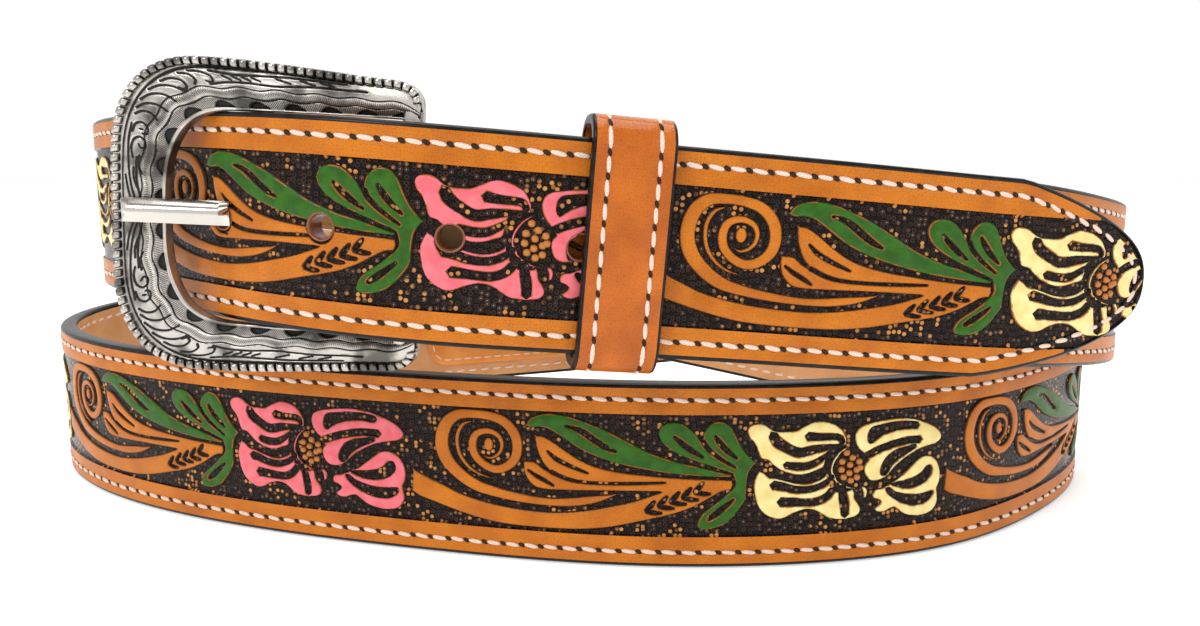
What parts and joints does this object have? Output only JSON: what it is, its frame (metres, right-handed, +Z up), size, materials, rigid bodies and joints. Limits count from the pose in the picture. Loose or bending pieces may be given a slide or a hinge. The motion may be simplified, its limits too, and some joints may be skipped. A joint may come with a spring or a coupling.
{
  "type": "western tooled belt",
  "caption": "Floral tooled leather belt with an engraved buckle, fastened and coiled in two tiers, standing on its edge.",
  "frame": {"origin": "below the middle of the coil, on the surface that the lower turn stands on", "axes": "+X to the right as seen from the buckle's side, +Y towards the back of the coil, +Z up"},
  "size_m": [0.2828, 0.1556, 0.1001],
  "materials": {
    "tooled_strap": "glossy amber tan, tooled, with a dark ground and painted black edges",
    "lining": "matt light tan",
    "buckle_frame": "antiqued engraved silver",
    "prong": "polished silver",
    "keeper": "glossy amber tan, stitched, with black edges",
    "label_patch": "smooth orange tan, stitched"
  },
  "bodies": {
    "root": {"tooled_strap": "tooled_strap", "lining": "lining", "buckle_frame": "buckle_frame", "prong": "prong", "keeper": "keeper", "label_patch": "label_patch"}
  },
  "joints": []
}
